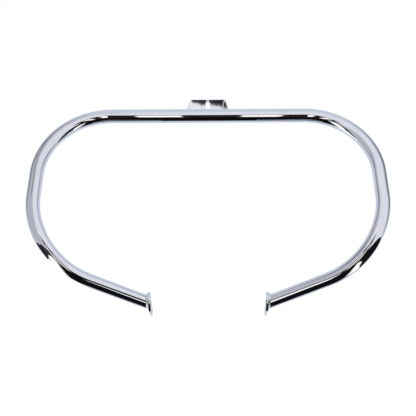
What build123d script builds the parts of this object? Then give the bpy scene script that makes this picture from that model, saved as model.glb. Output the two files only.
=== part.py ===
from build123d import *
import os
from math import cos, radians, sin

# Motorcycle engine crash bar: one bent tube, a slotted bracket for the frame's downtubes at its
# top and an eye tab on each tube end, all welded together and chrome plated.
# Millimetres and degrees. The origin is the middle of the bracket's slot, on the bracket's seat.
# +Y points from the bar to the motorcycle, +Z is up along its downtubes, +X is the bar's right.

# Tube: one size and one bend radius throughout, the right half is described and mirrored
tube_diameter = 31.75
tube_wall = 2.4
bend_radius = 162.0
top_straight = 445.0
upper_bend = 88.0
side_straight = 60.0
lower_bend = 86.0
leg_twist = 33.0
loop_lean = 29.0

# Upper bracket: a flat slotted plate behind the tube
bracket_thickness = 5.0
bracket_width = 97.0
bracket_top_width = 81.0
bracket_bottom_width = 62.0
bracket_corner_radius = 5.0
bracket_lip = 1.6
slot_width = 11.0
slot_length = 20.0
slot_rise = 8.5
slot_cover = 6.0

# Tabs at the tube's ends, leaning apart at their tops; the gap is at the tube's centre line
tab_gap = 259.0
tab_lean = 3.5
tab_thickness = 6.35
tab_rim = 8.6
bolt_hole_diameter = 11.0
bolt_offset = 22.0
eye_wall = 10.5

# Welds and broken edges, the groove angles are round the tube from where it faces the bracket
root_gap = 0.3
weld_leg = 4.0
weld_toe = 0.4
groove_root_angle = 15.0
groove_top_angle = 44.0
groove_bottom_angle = 32.0
groove_weld_setback = 3.0
edge_round = 0.8

# Places that follow from the sizes above
tube_radius = tube_diameter / 2
slot_height = tube_radius + slot_rise
bracket_front = -bracket_thickness
bracket_top = slot_length / 2 + slot_cover
groove_root = tube_radius * sin(radians(groove_root_angle))
groove_top = tube_radius * sin(radians(groove_top_angle))
groove_bottom = tube_radius * sin(radians(groove_bottom_angle))
bracket_bottom = -slot_height - groove_bottom - bracket_lip
top_middle = Vector(0, bracket_front - root_gap - tube_radius, -slot_height)
rearward = Vector(0, cos(radians(loop_lean)), -sin(radians(loop_lean)))
tab_normal = Vector(cos(radians(tab_lean)), 0, -sin(radians(tab_lean)))
tab_along = (rearward - tab_normal * rearward.dot(tab_normal)).normalized()
tab_face_x = tab_gap / 2 + tab_thickness / cos(radians(tab_lean))

# Centre line of the right half: top and side in the leaning loop's plane, then the leg's own plane
loop_plane = Plane(origin=top_middle, x_dir=(1, 0, 0), z_dir=-rearward)
with BuildLine(loop_plane) as loop_line:
    top = Line((0, 0), (top_straight / 2, 0))
    upper_arc = JernArc(top @ 1, top % 1, bend_radius, -upper_bend)
    side = Line(upper_arc @ 1, upper_arc @ 1 + (upper_arc % 1) * side_straight)

leg_normal = loop_plane.z_dir.rotate(Axis(side @ 1, side % 1), leg_twist)
with BuildLine(Plane(origin=side @ 1, x_dir=side % 1, z_dir=leg_normal)) as leg_line:
    lower_arc = JernArc(side @ 1, side % 1, bend_radius, -lower_bend)
    leg_direction = lower_arc % 1
    leg_length = (tab_face_x - (lower_arc @ 1).X) / leg_direction.X
    leg_end = lower_arc @ 1 + leg_direction * leg_length
    Line(lower_arc @ 1, leg_end + leg_direction * tube_diameter)

with BuildLine() as half_line:
    add(loop_line.line)
    add(leg_line.line)

# Tube: hollow, its ends cut flush with the tabs
right_face = Plane(origin=leg_end, x_dir=tab_along, z_dir=tab_normal)
with BuildPart() as main_tube:
    with BuildSketch(Plane(origin=top_middle, x_dir=rearward, z_dir=(1, 0, 0))):
        Circle(tube_radius)
        Circle(tube_radius - tube_wall, mode=Mode.SUBTRACT)
    sweep(path=half_line.wire())
    with BuildSketch(right_face):
        Circle(2 * tube_diameter)
    extrude(amount=-2 * tube_diameter, mode=Mode.SUBTRACT)
    mirror(about=Plane.YZ)

# Upper bracket: a plate with its outline narrowing upward and downward, slotted and with rounded rims
with BuildPart() as upper_bracket:
    with BuildSketch(Plane.XZ) as outline:
        Polygon(
            (-bracket_bottom_width / 2, bracket_bottom),
            (bracket_bottom_width / 2, bracket_bottom),
            (bracket_width / 2, -slot_height),
            (bracket_width / 2, -slot_rise),
            (bracket_top_width / 2, bracket_top),
            (-bracket_top_width / 2, bracket_top),
            (-bracket_width / 2, -slot_rise),
            (-bracket_width / 2, -slot_height),
            align=None,
        )
        fillet(outline.vertices(), bracket_corner_radius)
        SlotOverall(slot_length, slot_width, rotation=90, mode=Mode.SUBTRACT)
    extrude(amount=bracket_thickness)
    fillet(upper_bracket.faces().filter_by(Axis.Y).edges(), edge_round)

# Right tab: a plate hulled around the tube's end and the bolt's eye, the left one mirrors it
bolt_reach = tube_radius + bolt_offset
with BuildPart() as right_tab:
    with BuildSketch(right_face):
        Circle(tube_radius + tab_rim)
        with Locations((bolt_reach, 0)):
            Circle(bolt_hole_diameter / 2 + eye_wall)
        make_hull()
    extrude(amount=-tab_thickness)
    fillet(right_tab.faces().filter_by(right_face).edges(), edge_round)
    with Locations(right_face):
        with Locations((bolt_reach, 0)):
            Hole(bolt_hole_diameter / 2)

with BuildPart() as left_tab:
    mirror(right_tab.part, about=Plane.YZ)

# Right tab's weld: a sloped collar round the tube's slanting end, the left one mirrors it
slant = abs(leg_direction.dot(tab_normal))
across = (leg_direction + tab_normal * slant).normalized()
collar_end = leg_end - leg_direction * (weld_leg / slant)
with BuildPart() as right_tab_weld:
    with BuildSketch(Plane(origin=leg_end, x_dir=across, z_dir=tab_normal)):
        Ellipse(tube_radius / slant + weld_leg, tube_radius + weld_leg)
    with BuildSketch(Plane(origin=collar_end, x_dir=across, z_dir=tab_normal)):
        Ellipse(tube_radius / slant + weld_toe, tube_radius + weld_toe)
    loft()
    with BuildSketch(Plane(origin=leg_end + leg_direction * tube_diameter, z_dir=-leg_direction)):
        Circle(tube_radius)
    extrude(amount=3 * tube_diameter, mode=Mode.SUBTRACT)

with BuildPart() as left_tab_weld:
    mirror(right_tab_weld.part, about=Plane.YZ)

# Bracket welds: beads in the grooves between the tube and the plate, above and below
groove_weld_length = bracket_bottom_width - 2 * groove_weld_setback
bracket_welds = []
for reach, rise in ((groove_top, 1), (groove_bottom, -1)):
    with BuildPart() as bracket_weld:
        with BuildSketch(Plane.YZ):
            Polygon(
                (bracket_front, top_middle.Z + rise * groove_root),
                (bracket_front, top_middle.Z + rise * reach),
                (top_middle.Y, top_middle.Z + rise * reach),
                (top_middle.Y, top_middle.Z + rise * groove_root),
                align=None,
            )
            with Locations((top_middle.Y, top_middle.Z)):
                Circle(tube_radius, mode=Mode.SUBTRACT)
        extrude(amount=groove_weld_length / 2, both=True)
    bracket_welds.append(bracket_weld)

pieces = {
    "main_tube": main_tube,
    "upper_bracket": upper_bracket,
    "left_tab": left_tab,
    "right_tab": right_tab,
    "left_tab_weld": left_tab_weld,
    "right_tab_weld": right_tab_weld,
    "bracket_weld_upper": bracket_welds[0],
    "bracket_weld_lower": bracket_welds[1],
}
os.makedirs("parts", exist_ok=True)
for name, piece in pieces.items():
    piece.part.label = name
    export_step(piece.part, f"parts/{name}.step")
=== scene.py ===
import math
from collections import namedtuple

import bmesh
import bpy
from mathutils import Matrix, Vector


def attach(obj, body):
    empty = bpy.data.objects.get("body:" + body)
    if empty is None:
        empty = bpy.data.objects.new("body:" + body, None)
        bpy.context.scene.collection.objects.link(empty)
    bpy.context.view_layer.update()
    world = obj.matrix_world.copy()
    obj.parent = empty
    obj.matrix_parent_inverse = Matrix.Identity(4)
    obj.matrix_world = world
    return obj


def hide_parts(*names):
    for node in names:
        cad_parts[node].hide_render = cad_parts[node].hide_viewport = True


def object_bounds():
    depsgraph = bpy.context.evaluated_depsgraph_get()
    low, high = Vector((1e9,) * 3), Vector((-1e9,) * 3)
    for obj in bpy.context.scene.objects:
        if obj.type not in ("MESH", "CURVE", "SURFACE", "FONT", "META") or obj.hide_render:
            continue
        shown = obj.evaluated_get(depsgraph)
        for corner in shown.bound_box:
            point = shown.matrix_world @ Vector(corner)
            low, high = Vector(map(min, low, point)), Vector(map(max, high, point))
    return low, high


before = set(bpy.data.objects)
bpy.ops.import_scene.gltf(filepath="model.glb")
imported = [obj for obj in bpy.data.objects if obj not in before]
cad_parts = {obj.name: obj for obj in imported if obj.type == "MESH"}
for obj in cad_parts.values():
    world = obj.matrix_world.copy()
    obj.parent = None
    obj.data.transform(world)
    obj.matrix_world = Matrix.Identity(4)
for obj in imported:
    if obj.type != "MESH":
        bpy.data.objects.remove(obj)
cad_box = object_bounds()

# Chrome motorcycle crash bar in a white studio. Metres; the frame is the part's own.

# Tube, as in the part
TUBE_RADIUS = 0.03175 / 2
TUBE_WALL = 0.0024
BEND_RADIUS = 0.162
TOP_STRAIGHT = 0.445
UPPER_BEND = math.radians(88)
SIDE_STRAIGHT = 0.060
LOWER_BEND = math.radians(86)
LEG_TWIST = math.radians(33)
LOOP_LEAN = math.radians(29)

# Bracket, as in the part
BRACKET_THICKNESS = 0.005
BRACKET_WIDTH = 0.097
BRACKET_TOP_WIDTH = 0.081
BRACKET_BOTTOM_WIDTH = 0.062
BRACKET_CORNER = 0.005
BRACKET_LIP = 0.0016
SLOT_WIDTH = 0.011
SLOT_LENGTH = 0.020
SLOT_RISE = 0.0085
SLOT_COVER = 0.006
ROOT_GAP = 0.0003
EDGE_ROUND = 0.0008

# Tabs, as in the part, with the rims of their holes slightly broken
TAB_GAP = 0.259
TAB_LEAN = math.radians(3.5)
TAB_THICKNESS = 0.00635
TAB_RIM = 0.0086
BOLT_HOLE = 0.011
BOLT_OFFSET = 0.022
EYE_WALL = 0.0105
HOLE_ROUND = 0.0003

# Welds, as in the part; the groove angles go round the tube from where it faces the bracket
WELD_LEG = 0.004
WELD_TOE = 0.0004
GROOVE_ROOT_ANGLE = math.radians(15)
GROOVE_TOP_ANGLE = math.radians(44)
GROOVE_BOTTOM_ANGLE = math.radians(32)
GROOVE_SETBACK = 0.003

# Places that follow from the sizes
TOP_MIDDLE = Vector((0, -BRACKET_THICKNESS - ROOT_GAP - TUBE_RADIUS, -TUBE_RADIUS - SLOT_RISE))
REARWARD = Vector((0, math.cos(LOOP_LEAN), -math.sin(LOOP_LEAN)))
TAB_NORMAL = Vector((math.cos(TAB_LEAN), 0, -math.sin(TAB_LEAN)))
TAB_FACE_X = TAB_GAP / 2 + TAB_THICKNESS / math.cos(TAB_LEAN)
GROOVE_ROOT = TUBE_RADIUS * math.sin(GROOVE_ROOT_ANGLE)
GROOVE_TOP = TUBE_RADIUS * math.sin(GROOVE_TOP_ANGLE)
GROOVE_BOTTOM = TUBE_RADIUS * math.sin(GROOVE_BOTTOM_ANGLE)
BRACKET_TOP = SLOT_LENGTH / 2 + SLOT_COVER
BRACKET_BOTTOM = TOP_MIDDLE.z - GROOVE_BOTTOM - BRACKET_LIP

# Fineness of the meshes
TUBE_SIDES = 128
BORE_SIDES = 32
BORE_SKIP = 4
BEND_STEP = math.radians(0.9)
STRAIGHT_STEP = 0.012
OUTLINE_STEP = 0.001
FACE_RINGS = 22
FACE_HOLD = 0.0003
RIM_STEPS = 5
SHARP_ANGLE = math.radians(50)

# How the welding has drawn the bracket: dished above DRAW_START about the height DRAW_MIDDLE, bowed back
# towards its ends, twisted past TWIST_LEFT and TWIST_RIGHT, bent back past END_START, and set back a little
DRAW_START = -0.010
DRAW_MIDDLE = 0.0054
DRAW_BACK = 0.0002
DISH = 1.75
BOW = 0.215
TWIST = 0.85
TWIST_LEFT = -0.010
TWIST_RIGHT = 0.018
END_START = 0.034
END_BEND = 2.5

# Web over the bracket's slot, bent back above WEB_START
WEB_HALF = 0.0055
WEB_START = 0.0095
WEB_SLOPE = 0.042

# Crease that sets the bracket's right corner back, upright below CREASE_Z and slanting outward above it
CREASE_X = 0.0352
CREASE_Z = 0.0035
CREASE_SLANT = 0.41
CREASE_WIDTH = 0.004
CREASE_DEPTH = 0.0005

# Left edge of the bracket, rolled back
ROLL_WIDTH = 0.003
ROLL_DEPTH = 0.0005

# Waves along the bracket that vary its twist
Wave = namedtuple("Wave", "size length phase")
WAVES = (Wave(0.003, 0.017, 1.0), Wave(0.0015, 0.007, 2.3))

# Ripples of the weld beads
RIPPLE_PITCH = 0.003
RIPPLE_STEPS = 8
RIPPLE_DEPTH = 0.0004
RIPPLE_LAG = 0.7
BEAD_CROWN = 0.0007
BEAD_STEPS = 10
BEAD_END = 0.005
BEAD_END_HEIGHT = 0.2

# Chrome: clouds of duller plate, which fade in between two levels of noise, and a fine ripple over all
CLOUD_SCALE = 23.0
CLOUD_DETAIL = 4.0
CLOUD_TINT = (0.35, 0.7)
CLOUD_POLISH = (0.3, 0.75)
FINE_DETAIL = 2.0
Finish = namedtuple("Finish", "tint dull_tint roughness dull_roughness fine_scale fine_height")
TUBE_FINISH = Finish((0.82, 0.825, 0.84), (0.78, 0.79, 0.81), 0.015, 0.035, 60.0, 0.000004)
PLATE_FINISH = Finish((0.81, 0.815, 0.83), (0.77, 0.78, 0.80), 0.09, 0.13, 90.0, 0.000004)
BRACKET_FINISH = Finish((0.82, 0.82, 0.83), (0.78, 0.785, 0.80), 0.08, 0.11, 90.0, 0.000006)
WELD_FINISH = Finish((0.80, 0.81, 0.83), (0.74, 0.75, 0.78), 0.06, 0.12, 300.0, 0.00004)

# Camera, fitted to the photo's frame of 416 x 416; its lens and sensor in millimetres, its turns in degrees
CAMERA_PLACE = (0.02053, -2.37797, -0.29911)
CAMERA_TURN = (91.481, 0.216, 0.514)
CAMERA_LENS = 88.1
CAMERA_SENSOR = 36.0

# Floor, the white world and the soft light overhead
FLOOR_DROP = 0.24
FLOOR_RADIUS = 9.0
FLOOR_SIDES = 96
FLOOR_COLOUR = (0.93, 0.93, 0.93, 1)
FLOOR_ROUGHNESS = 0.9
FLOOR_SPECULAR = 0.1
WORLD_COLOUR = (1, 1, 1, 1)
WORLD_STRENGTH = 1.0
OVERHEAD_PLACE = (0, -0.1, 4.0)
OVERHEAD_SIZE = 12.0
OVERHEAD_POWER = 900.0

# Reflected studio: a dome round the part that only the chrome sees, with panels laid one over another
DOME_CENTRE = (-0.0255, -0.5415, -0.3324)
DOME_RADIUS = 1.0713
DOME_SEGMENTS = 192
DOME_RINGS = 96

# A place on the dome is its azimuth and height from the dome's centre, in degrees: azimuth 0 is the camera's
# side and 90 the bar's right. A panel's edge fades over twice its softness, and its corners go anticlockwise.
Panel = namedtuple("Panel", "colour soft corners")


def upright(colour, soft, west, east, low, high):
    """A panel between two azimuths and two heights."""
    return Panel(colour, soft, ((west, low), (east, low), (east, high), (west, high)))


def bar(colour, soft, start, end, half_width):
    """A panel along a straight line between two places."""
    start, end = Vector(start), Vector(end)
    run = (end - start).normalized()
    left = Vector((-run.y, run.x)) * half_width
    return Panel(colour, soft, (start - left, end - left, end + left, start + left))


# Ceiling and walls; BACK_TURN is where the back wall takes over at either side
CEILING = (0.853, 0.861, 0.948)
BACK_WALL = (0.682, 0.723, 0.838)
BACK_TURN = (107.3, 127.5)
DULL_WALL = upright((0.528, 0.533, 0.609), 13, -131, -35, -14, 70)
LEFT_POST = bar((0.092, 0.095, 0.113), 10.5, (-122.5, 10.5), (-137, 55), 5)
LEFT_BEAM = bar((0.138, 0.143, 0.169), 3.5, (-126.5, 47), (-82.5, 53), 2.5)
RIGHT_POST = bar((0.038, 0.037, 0.045), 14.5, (120.5, -3.5), (132.5, 39.5), 8)

# White panels low at both sides, and the dark gaps over them
WHITE = (1.30, 1.30, 1.30)
LEFT_PANEL = Panel(WHITE, 1.3, ((-152.5, -75), (-35, -75), (-35, -18), (-152.5, -10)))
RIGHT_PANEL = Panel(WHITE, 1.3, ((42, -75), (126, -75), (126, -23), (42, -21.5)))
LEFT_GAP = Panel((0.037, 0.034, 0.041), 1.6, ((-102.5, -34), (-18, -14), (-18, 1.5), (-102.5, -15)))
DEEP_GAP = Panel((0.004, 0.004, 0.010), 0.25, ((-126.5, -22.5), (-98, -30), (-98, -12), (-126.5, -10.5)))
RIGHT_GAP = Panel(
    (0.008, 0.008, 0.009), 0.25,
    ((19.5, -34), (107.5, -38), (137.5, -22), (137.5, -9), (19.5, -2.5)),
)

# Dark ground, which comes up towards the front; its edge goes from one height to another between two
# azimuths at either side, and behind it lies at heights of its own and is softer by GROUND_SOFTER
GROUND = (0.005, 0.005, 0.008)
GROUND_EDGE = (-4.5, 74, -16, -52.5)
GROUND_BACK_EDGE = (125, 175, -43, -49.5)
GROUND_SOFT = 4.5
GROUND_SOFTER = 2.2

# Bright strip and dark card on the camera's side; the card's foot and top fade in between two heights
BRIGHT_STRIP = upright((1.02, 1.01, 1.04), 2, -26, 29, 20, 40)
DARK_CARD = upright((0.026, 0.015, 0.016), 0.5, -24.7, 28, -70, 31)
CARD_TOP = (0.006, 0.0065, 0.016)
CARD_TOP_RISE = (-6, 12)
CARD_FOOT = (0.006, 0.004, 0.005)
CARD_FOOT_RISE = (-40, -18)

# Two lamp columns in front of the dark card, which light up between two heights
LAMP = (1.40, 1.30, 1.30)
LEFT_LAMP = upright(LAMP, 0.4, -14.4, -4.9, -60, 20)
RIGHT_LAMP = upright(LAMP, 0.4, 7.8, 16.3, -60, 20)
LAMP_RISE = (-29.6, -10.3)


class Nodes:
    """Short calls for building a node tree; a value is a number or another node's output."""

    def __init__(self, tree):
        self.tree = tree
        tree.nodes.clear()

    def new(self, kind, **settings):
        node = self.tree.nodes.new(kind)
        for key, value in settings.items():
            setattr(node, key, value)
        return node

    def put(self, value, socket):
        if isinstance(value, bpy.types.NodeSocket):
            self.tree.links.new(value, socket)
        else:
            socket.default_value = value

    def math(self, operation, *values):
        node = self.new("ShaderNodeMath", operation=operation)
        for value, socket in zip(values, node.inputs):
            self.put(value, socket)
        return node.outputs[0]

    def ramp(self, value, low, high, out_low=0.0, out_high=1.0):
        """Smooth step from out_low to out_high while the value goes from low to high."""
        node = self.new("ShaderNodeMapRange", interpolation_type="SMOOTHSTEP")
        for number, item in enumerate((value, low, high, out_low, out_high)):
            self.put(item, node.inputs[number])
        return node.outputs[0]

    def mix(self, base, colour, share):
        """Colours mixed; a mix node's colours are its inputs 6 and 7 and its output 2."""
        node = self.new("ShaderNodeMix", data_type="RGBA")
        self.put(share, node.inputs[0])
        for item, socket in ((base, node.inputs[6]), (colour, node.inputs[7])):
            self.put(item if isinstance(item, bpy.types.NodeSocket) else (*item, 1.0), socket)
        return node.outputs[2]

    def inside(self, across, up, panel):
        """How far a place is inside a convex panel, 0 to 1."""
        share = 1.0
        for (x0, y0), (x1, y1) in zip(panel.corners, panel.corners[1:] + panel.corners[:1]):
            length = math.hypot(x1 - x0, y1 - y0)
            left_x, left_y = (y0 - y1) / length, (x1 - x0) / length
            offset = -left_x * x0 - left_y * y0
            depth = self.math("MULTIPLY_ADD", across, left_x, offset)
            depth = self.math("MULTIPLY_ADD", up, left_y, depth)
            share = self.math("MULTIPLY", self.ramp(depth, -panel.soft, panel.soft), share)
        return share


def mesh_piece(name, verts, faces, material, node, slot):
    """A piece of the bar that stands for one of the part's nodes."""
    mesh = bpy.data.meshes.new(name)
    mesh.from_pydata(verts, [], faces)
    shell = bmesh.new()
    shell.from_mesh(mesh)
    bmesh.ops.recalc_face_normals(shell, faces=shell.faces)
    shell.to_mesh(mesh)
    shell.free()
    mesh.shade_smooth()
    mesh.set_sharp_from_angle(angle=SHARP_ANGLE)
    mesh.materials.append(material)
    piece = bpy.data.objects.new(name, mesh)
    bpy.context.scene.collection.objects.link(piece)
    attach(piece, "root")
    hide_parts(node)


def lofted(sections, closed):
    """Points and faces through closed sections, joined into a ring or with a cap at each end."""
    size = len(sections[0])
    verts = [point for section in sections for point in section]
    faces = []
    for row in range(len(sections) if closed else len(sections) - 1):
        a, b = row * size, (row + 1) % len(sections) * size
        for step in range(size):
            beside = (step + 1) % size
            faces.append((a + step, b + step, b + beside, a + beside))
    if not closed:
        faces.append(tuple(range(size)))
        faces.append(tuple(range(len(verts) - size, len(verts))))
    return verts, faces


def mirrored(points):
    return [Vector((-p.x, p.y, p.z)) for p in points]


# Materials

def chrome(name, finish):
    """Plated metal: polish that varies a little, and a slight ripple in the surface."""
    material = bpy.data.materials.new(name)
    material.use_nodes = True
    n = Nodes(material.node_tree)
    place = n.new("ShaderNodeTexCoord").outputs["Object"]
    cloud = n.new("ShaderNodeTexNoise")
    n.put(place, cloud.inputs["Vector"])
    cloud.inputs["Scale"].default_value = CLOUD_SCALE
    cloud.inputs["Detail"].default_value = CLOUD_DETAIL
    fine = n.new("ShaderNodeTexNoise")
    n.put(place, fine.inputs["Vector"])
    fine.inputs["Scale"].default_value = finish.fine_scale
    fine.inputs["Detail"].default_value = FINE_DETAIL
    bump = n.new("ShaderNodeBump")
    bump.inputs["Strength"].default_value = 1.0
    bump.inputs["Distance"].default_value = finish.fine_height
    n.put(fine.outputs[0], bump.inputs["Height"])
    shader = n.new("ShaderNodeBsdfPrincipled")
    shader.inputs["Metallic"].default_value = 1.0
    tint = n.mix(finish.tint, finish.dull_tint, n.ramp(cloud.outputs[0], *CLOUD_TINT))
    n.put(tint, shader.inputs["Base Color"])
    polish = n.ramp(cloud.outputs[0], *CLOUD_POLISH, finish.roughness, finish.dull_roughness)
    n.put(polish, shader.inputs["Roughness"])
    n.put(bump.outputs[0], shader.inputs["Normal"])
    out = n.new("ShaderNodeOutputMaterial")
    n.put(shader.outputs[0], out.inputs["Surface"])
    return material


tube_chrome = chrome("tube_chrome", TUBE_FINISH)
plate_chrome = chrome("plate_chrome", PLATE_FINISH)
bracket_chrome = chrome("bracket_chrome", BRACKET_FINISH)
weld_chrome = chrome("weld_chrome", WELD_FINISH)


# Tube

def right_half():
    """Stations of the right half's centre line, from the middle to the leg's end.

    Each is a point, the line's direction and a direction square to it.
    """
    lean = Matrix.Rotation(-LOOP_LEAN, 3, "X")
    stations = [(TOP_MIDDLE.copy(), Vector((1, 0, 0)), lean @ Vector((0, 0, 1)))]

    def straight(length):
        steps = max(1, round(length / STRAIGHT_STEP))
        start, along, square = stations[-1]
        for step in range(1, steps + 1):
            stations.append((start + along * (length * step / steps), along, square))

    def bend(angle, normal):
        steps = round(angle / BEND_STEP)
        start, along, square = stations[-1]
        centre = start - normal.cross(along) * BEND_RADIUS
        for step in range(1, steps + 1):
            turn = Matrix.Rotation(-angle * step / steps, 3, normal)
            stations.append((centre + turn @ (start - centre), turn @ along, turn @ square))

    straight(TOP_STRAIGHT / 2)
    bend(UPPER_BEND, -REARWARD)
    straight(SIDE_STRAIGHT)
    down = stations[-1][1]
    bend(LOWER_BEND, Matrix.Rotation(LEG_TWIST, 3, down) @ -REARWARD)
    last, along, _ = stations[-1]
    straight((TAB_FACE_X - last.x) / along.x)
    return stations


STATIONS = right_half()
LEG_END, LEG_DIRECTION, _ = STATIONS[-1]


def ring(station, radius, sides, flush=False):
    """The section's points at a station, run on to the tab's face where it ends flush with that."""
    point, along, square = station
    other = along.cross(square)
    points = []
    for side in range(sides):
        angle = math.tau * side / sides
        place = point + square * (radius * math.cos(angle)) + other * (radius * math.sin(angle))
        if flush:
            place += along * ((LEG_END - place).dot(TAB_NORMAL) / along.dot(TAB_NORMAL))
        points.append(place)
    return points


def tube_wall(radius, sides, skip):
    """Rings of one wall from the left end to the right end, at every so many stations.

    Stations too near to the leg's end are left out, because the ring there slants.
    """
    clear = 2 * TUBE_RADIUS
    body = [s for s in STATIONS[::skip] if (LEG_END - s[0]).length > clear]
    right = [ring(s, radius, sides) for s in body] + [ring(STATIONS[-1], radius, sides, True)]
    return [mirrored(points) for points in reversed(right[1:])] + right


def make_tube():
    """Outer wall and bore without their caps, joined by a rim at each end."""
    outer = tube_wall(TUBE_RADIUS, TUBE_SIDES, 1)
    inner = tube_wall(TUBE_RADIUS - TUBE_WALL, BORE_SIDES, BORE_SKIP)
    verts, faces = [], []
    for rings in (outer, inner):
        wall_verts, wall_faces = lofted(rings, False)
        faces += [tuple(len(verts) + index for index in face) for face in wall_faces[:-2]]
        verts += wall_verts
    share = TUBE_SIDES // BORE_SIDES
    bore = len(outer) * TUBE_SIDES
    for rim, bore_rim in ((0, bore), (bore - TUBE_SIDES, len(verts) - BORE_SIDES)):
        for side in range(BORE_SIDES):
            edge = [rim + (side * share + step) % TUBE_SIDES for step in range(share + 1)]
            faces.append((*edge, bore_rim + (side + 1) % BORE_SIDES, bore_rim + side))
    mesh_piece("tube", verts, faces, tube_chrome, "main_tube", "chrome_tube")


# Plates

Arc = namedtuple("Arc", "centre radius first last")


def on_arc(arc, angle):
    """The point of an arc at an angle, and the outward direction there."""
    normal = Vector((math.cos(angle), math.sin(angle)))
    return arc.centre + normal * arc.radius, normal


def outline(arcs):
    """Points and outward directions round a closed line of arcs joined by straight runs."""
    line = []
    for arc, after in zip(arcs, arcs[1:] + arcs[:1]):
        steps = math.ceil(arc.radius * (arc.last - arc.first) / OUTLINE_STEP)
        for step in range(steps + 1):
            line.append(on_arc(arc, arc.first + (arc.last - arc.first) * step / steps))
        start, normal = line[-1]
        end, _ = on_arc(after, after.first)
        runs = math.ceil((end - start).length / OUTLINE_STEP)
        line += [(start.lerp(end, run / runs), normal) for run in range(1, runs)]
    return line


def rounded(corners, radius):
    """Arcs in the corners of a convex shape, its corners going anticlockwise."""
    arcs = []
    for before, corner, after in zip(corners[-1:] + corners[:-1], corners, corners[1:] + corners[:1]):
        run, next_run = (corner - before).normalized(), (after - corner).normalized()
        normal, next_normal = Vector((run.y, -run.x)), Vector((next_run.y, -next_run.x))
        first = math.atan2(normal.y, normal.x)
        turn = math.acos(max(-1, min(1, normal.dot(next_normal))))
        middle = corner - (normal + next_normal) * (radius / (1 + normal.dot(next_normal)))
        arcs.append(Arc(middle, radius, first, first + turn))
    return arcs


def slot_edge(direction, width, straight):
    """Where a direction from a slot's middle meets its edge, and the direction away from the slot there.

    The slot is upright, and straight is half the length of its straight sides.
    """
    radius = width / 2
    if abs(direction.y) * radius <= straight * abs(direction.x):
        side = Vector((math.copysign(1, direction.x), 0))
        return direction * (radius / abs(direction.x)), side
    end = Vector((0, math.copysign(straight, direction.y)))
    reach = direction.dot(end) + math.sqrt(radius ** 2 - (straight * direction.x) ** 2)
    point = direction * reach
    return point, (point - end).normalized()


def plate_section(edge, edge_normal, hole, hole_normal, thickness, hole_round):
    """Section of a plate from its hole to its edge and back: places on it and depths below its face."""
    inner, outer = hole + hole_normal * hole_round, edge - edge_normal * EDGE_ROUND
    hold = FACE_HOLD / (outer - inner).length
    stops = [0] + [hold + (1 - 2 * hold) * step / FACE_RINGS for step in range(FACE_RINGS + 1)] + [1]
    face = [inner.lerp(outer, stop) for stop in stops]
    turns = [math.pi / 2 * step / RIM_STEPS for step in range(1, RIM_STEPS + 1)]

    def rim(place, normal, radius):
        """A rounded rim from the face to the wall."""
        return [(place - normal * (radius * (1 - math.sin(t))), radius * (1 - math.cos(t))) for t in turns]

    edge_rim = rim(edge, edge_normal, EDGE_ROUND)
    hole_rim = rim(hole, -hole_normal, hole_round)
    section = [(place, 0) for place in face] + edge_rim
    section += [(place, thickness - depth) for place, depth in reversed(edge_rim)]
    section += [(place, thickness) for place in reversed(face)]
    section += [(place, thickness - depth) for place, depth in hole_rim]
    section += reversed(hole_rim)
    return section


def plate(line, hole_middle, hole_width, hole_straight, thickness, hole_round, put):
    """Sections of a plate with one slot or hole, each point put in place by its two measures and depth."""
    sections = []
    for edge, normal in line:
        hole, hole_normal = slot_edge((edge - hole_middle).normalized(), hole_width, hole_straight)
        section = plate_section(edge, normal, hole_middle + hole, hole_normal, thickness, hole_round)
        sections.append([put(place, depth) for place, depth in section])
    return sections


def eased(share):
    """A smooth step from 0 to 1."""
    share = min(max(share, 0), 1)
    return share * share * (3 - 2 * share)


def side_at(z):
    """Half of the bracket's width at a height in its upper part."""
    share = (z + SLOT_RISE) / (BRACKET_TOP + SLOT_RISE)
    return (BRACKET_WIDTH + (BRACKET_TOP_WIDTH - BRACKET_WIDTH) * max(share, 0)) / 2


def drawn(x, z):
    """How far forward the welds have drawn the bracket from flat."""
    rise = max(z, DRAW_START) - DRAW_MIDDLE
    turn = TWIST * (x - min(max(x, TWIST_LEFT), TWIST_RIGHT))
    turn += sum(wave.size * math.sin(math.tau * x / wave.length + wave.phase) for wave in WAVES)
    bent = BOW * x ** 2 + END_BEND * max(x - END_START, 0) ** 2
    bent += WEB_SLOPE * max(z - WEB_START, 0) * max(1 - (x / WEB_HALF) ** 2, 0)
    past = x - CREASE_X - CREASE_SLANT * max(z - CREASE_Z, 0)
    bent += CREASE_DEPTH * eased(past / CREASE_WIDTH + 0.5)
    bent += ROLL_DEPTH * max(1 - (x + side_at(z)) / ROLL_WIDTH, 0) ** 2
    return (DISH * rise + turn) * rise - bent - DRAW_BACK


def make_bracket():
    right = [
        (BRACKET_BOTTOM_WIDTH / 2, BRACKET_BOTTOM),
        (BRACKET_WIDTH / 2, TOP_MIDDLE.z),
        (BRACKET_WIDTH / 2, -SLOT_RISE),
        (BRACKET_TOP_WIDTH / 2, BRACKET_TOP),
    ]
    corners = [Vector(c) for c in right] + [Vector((-x, z)) for x, z in reversed(right)]
    line = outline(rounded(corners, BRACKET_CORNER))
    slot_straight = (SLOT_LENGTH - SLOT_WIDTH) / 2

    def put(place, depth):
        return Vector((place.x, depth - BRACKET_THICKNESS - drawn(place.x, place.y), place.y))

    sections = plate(line, Vector((0, 0)), SLOT_WIDTH, slot_straight, BRACKET_THICKNESS, EDGE_ROUND, put)
    mesh_piece("bracket", *lofted(sections, True), bracket_chrome, "upper_bracket", "chrome_plate")


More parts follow.
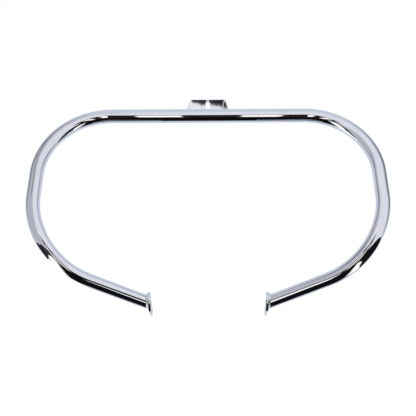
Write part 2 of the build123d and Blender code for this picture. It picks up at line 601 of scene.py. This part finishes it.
def make_tabs():
    along = (REARWARD - TAB_NORMAL * REARWARD.dot(TAB_NORMAL)).normalized()
    upward = TAB_NORMAL.cross(along)
    seat, eye = TUBE_RADIUS + TAB_RIM, BOLT_HOLE / 2 + EYE_WALL
    reach = TUBE_RADIUS + BOLT_OFFSET
    lean = math.acos((seat - eye) / reach)
    line = outline([
        Arc(Vector((0, 0)), seat, lean, math.tau - lean),
        Arc(Vector((reach, 0)), eye, -lean, lean),
    ])

    def put(place, depth):
        return LEG_END + along * place.x + upward * place.y - TAB_NORMAL * depth

    right = plate(line, Vector((reach, 0)), BOLT_HOLE, 0, TAB_THICKNESS, HOLE_ROUND, put)
    left = [mirrored(section) for section in right]
    mesh_piece("tab_right", *lofted(right, True), plate_chrome, "right_tab", "chrome_plate")
    mesh_piece("tab_left", *lofted(left, True), plate_chrome, "left_tab", "chrome_plate")


# Welds

def ripple(phase, share):
    """Depth of a bead's ripples: crescents that lag at the bead's two toes."""
    crown = math.sin(math.pi * share)
    return RIPPLE_DEPTH * crown * (0.5 - 0.5 * math.cos(math.tau * (phase - RIPPLE_LAG * crown)))


def make_tab_welds():
    """Collars round the tube's slanting ends, from the tab's face along the tube."""
    slant = abs(LEG_DIRECTION.dot(TAB_NORMAL))
    across = (LEG_DIRECTION + TAB_NORMAL * slant).normalized()
    other = TAB_NORMAL.cross(across)
    ripples = round(math.tau * (TUBE_RADIUS + WELD_TOE) / RIPPLE_PITCH)
    count = ripples * RIPPLE_STEPS

    def place(angle, share, proud):
        middle = LEG_END - LEG_DIRECTION * (WELD_LEG / slant * share)
        wide = (TUBE_RADIUS / slant + proud) * math.cos(angle)
        return middle + across * wide + other * ((TUBE_RADIUS + proud) * math.sin(angle))

    right = []
    for number in range(count):
        angle = math.tau * number / count
        section = []
        for step in range(BEAD_STEPS + 1):
            share = step / BEAD_STEPS
            proud = WELD_LEG + (WELD_TOE - WELD_LEG) * share + BEAD_CROWN * math.sin(math.pi * share)
            section.append(place(angle, share, proud - ripple(number / RIPPLE_STEPS, share)))
        section += [place(angle, 1, 0), place(angle, 0, 0)]
        right.append(section)
    left = [mirrored(section) for section in right]
    mesh_piece("tab_weld_right", *lofted(right, True), weld_chrome, "right_tab_weld", "chrome_weld")
    mesh_piece("tab_weld_left", *lofted(left, True), weld_chrome, "left_tab_weld", "chrome_weld")


def make_bracket_weld(name, node, reach, rise):
    """A bead in the groove between the tube and the bracket, above it or below it."""
    half = BRACKET_BOTTOM_WIDTH / 2 - GROOVE_SETBACK
    count = round(2 * half / RIPPLE_PITCH) * RIPPLE_STEPS
    sections = []
    for number in range(count + 1):
        x = half * (2 * number / count - 1)
        near_end = max(0, 1 - (half - abs(x)) / BEAD_END)
        fullness = max(BEAD_END_HEIGHT, math.sqrt(1 - near_end ** 2))
        height = GROOVE_ROOT + (reach - GROOVE_ROOT) * fullness
        top_angle = math.asin(height / TUBE_RADIUS)
        tube_toe = TOP_MIDDLE.y + TUBE_RADIUS * math.cos(top_angle)
        section = []
        for step in range(BEAD_STEPS + 1):
            share = step / BEAD_STEPS
            y = -BRACKET_THICKNESS + (tube_toe + BRACKET_THICKNESS) * share
            crown = BEAD_CROWN * math.sin(math.pi * share) - ripple(number / RIPPLE_STEPS, share)
            section.append((y, height + crown))
        for step in range(1, BEAD_STEPS + 1):
            angle = top_angle + (GROOVE_ROOT_ANGLE - top_angle) * step / BEAD_STEPS
            section.append((TOP_MIDDLE.y + TUBE_RADIUS * math.cos(angle), TUBE_RADIUS * math.sin(angle)))
        section.append((-BRACKET_THICKNESS, GROOVE_ROOT))
        sections.append([Vector((x, y, TOP_MIDDLE.z + rise * up)) for y, up in section])
    mesh_piece(name, *lofted(sections, False), weld_chrome, node, "chrome_weld")


make_tube()
make_bracket()
make_tabs()
make_tab_welds()
make_bracket_weld("bracket_bead_upper", "bracket_weld_upper", GROOVE_TOP, 1)
make_bracket_weld("bracket_bead_lower", "bracket_weld_lower", GROOVE_BOTTOM, -1)


# Studio

def only_reflected(thing):
    """Seen in the chrome, and by nothing else."""
    thing.visible_camera = False
    thing.visible_diffuse = False
    thing.visible_transmission = False
    thing.visible_volume_scatter = False
    thing.visible_shadow = False


def dome_light():
    """Emission by direction from the dome's centre: ceiling, walls, white panels and dark gaps."""
    material = bpy.data.materials.new("dome_light")
    material.use_nodes = True
    n = Nodes(material.node_tree)
    outwards = n.new("ShaderNodeVectorMath", operation="SUBTRACT")
    n.put(n.new("ShaderNodeNewGeometry").outputs["Position"], outwards.inputs[0])
    outwards.inputs[1].default_value = DOME_CENTRE
    unit = n.new("ShaderNodeVectorMath", operation="NORMALIZE")
    n.put(outwards.outputs[0], unit.inputs[0])
    split = n.new("ShaderNodeSeparateXYZ")
    n.put(unit.outputs[0], split.inputs[0])
    x, y, z = split.outputs
    azimuth = n.math("DEGREES", n.math("ARCTAN2", x, n.math("MULTIPLY", y, -1.0)))
    height = n.math("DEGREES", n.math("ARCSINE", z))
    away = n.math("ABSOLUTE", azimuth)
    behind = n.ramp(away, *BACK_TURN)

    def covered(light, panel):
        """The light with a panel laid over it."""
        return n.mix(light, panel.colour, n.inside(azimuth, height, panel))

    light = n.mix(CEILING, BACK_WALL, behind)
    walls = (DULL_WALL, LEFT_POST, LEFT_BEAM, RIGHT_POST)
    sides = (LEFT_PANEL, RIGHT_PANEL, LEFT_GAP, DEEP_GAP, RIGHT_GAP)
    for panel in walls + sides:
        light = covered(light, panel)

    edge = n.ramp(away, *GROUND_EDGE)
    back_edge = n.ramp(away, *GROUND_BACK_EDGE)
    edge = n.math("MULTIPLY_ADD", n.math("SUBTRACT", back_edge, edge), behind, edge)
    soft = n.math("MULTIPLY_ADD", behind, GROUND_SOFTER, GROUND_SOFT)
    above = n.math("DIVIDE", n.math("SUBTRACT", height, edge), soft)
    light = n.mix(light, GROUND, n.ramp(above, -1, 1, 1, 0))

    light = covered(light, BRIGHT_STRIP)
    dark = n.mix(DARK_CARD.colour, CARD_TOP, n.ramp(height, *CARD_TOP_RISE))
    dark = n.mix(CARD_FOOT, dark, n.ramp(height, *CARD_FOOT_RISE))
    light = covered(light, DARK_CARD._replace(colour=dark))

    lit = n.ramp(height, *LAMP_RISE)
    for lamp in (LEFT_LAMP, RIGHT_LAMP):
        column = n.math("MULTIPLY", n.inside(azimuth, height, lamp), lit)
        light = n.mix(light, lamp.colour, column)

    glow = n.new("ShaderNodeEmission")
    n.put(light, glow.inputs["Color"])
    out = n.new("ShaderNodeOutputMaterial")
    n.put(glow.outputs[0], out.inputs["Surface"])
    return material


def make_dome():
    shell = bmesh.new()
    bmesh.ops.create_uvsphere(
        shell, u_segments=DOME_SEGMENTS, v_segments=DOME_RINGS, radius=DOME_RADIUS
    )
    mesh = bpy.data.meshes.new("studio_dome")
    shell.to_mesh(mesh)
    shell.free()
    dome = bpy.data.objects.new("studio_dome", mesh)
    dome.location = DOME_CENTRE
    bpy.context.scene.collection.objects.link(dome)
    mesh.materials.append(dome_light())
    only_reflected(dome)


def make_floor():
    """A plain pale disc under the part, which the chrome doesn't show."""
    material = bpy.data.materials.new("pale_floor")
    material.use_nodes = True
    shader = material.node_tree.nodes["Principled BSDF"]
    shader.inputs["Base Color"].default_value = FLOOR_COLOUR
    shader.inputs["Roughness"].default_value = FLOOR_ROUGHNESS
    shader.inputs["Specular IOR Level"].default_value = FLOOR_SPECULAR
    disc = bmesh.new()
    bmesh.ops.create_circle(disc, cap_ends=True, segments=FLOOR_SIDES, radius=FLOOR_RADIUS)
    mesh = bpy.data.meshes.new("floor")
    disc.to_mesh(mesh)
    disc.free()
    floor = bpy.data.objects.new("floor", mesh)
    floor.location.z = cad_box[0].z - FLOOR_DROP
    bpy.context.scene.collection.objects.link(floor)
    mesh.materials.append(material)
    floor.visible_glossy = False


def make_lights():
    """A white world all round and a soft lamp overhead, which the chrome doesn't show."""
    world = bpy.data.worlds.new("white_studio")
    world.use_nodes = True
    sky = world.node_tree.nodes["Background"]
    sky.inputs["Color"].default_value = WORLD_COLOUR
    sky.inputs["Strength"].default_value = WORLD_STRENGTH
    bpy.context.scene.world = world
    lamp = bpy.data.lights.new("overhead", "AREA")
    lamp.shape = "DISK"
    lamp.size = OVERHEAD_SIZE
    lamp.energy = OVERHEAD_POWER
    holder = bpy.data.objects.new("overhead", lamp)
    holder.location = OVERHEAD_PLACE
    holder.visible_glossy = False
    bpy.context.scene.collection.objects.link(holder)


def make_camera():
    data = bpy.data.cameras.new("camera")
    data.lens = CAMERA_LENS
    data.sensor_width = CAMERA_SENSOR
    camera = bpy.data.objects.new("camera", data)
    camera.location = CAMERA_PLACE
    camera.rotation_euler = [math.radians(a) for a in CAMERA_TURN]
    bpy.context.scene.collection.objects.link(camera)
    bpy.context.scene.camera = camera


make_dome()
make_floor()
make_lights()
make_camera()
bpy.context.scene.view_settings.view_transform = "Standard"

bpy.context.view_layer.update()
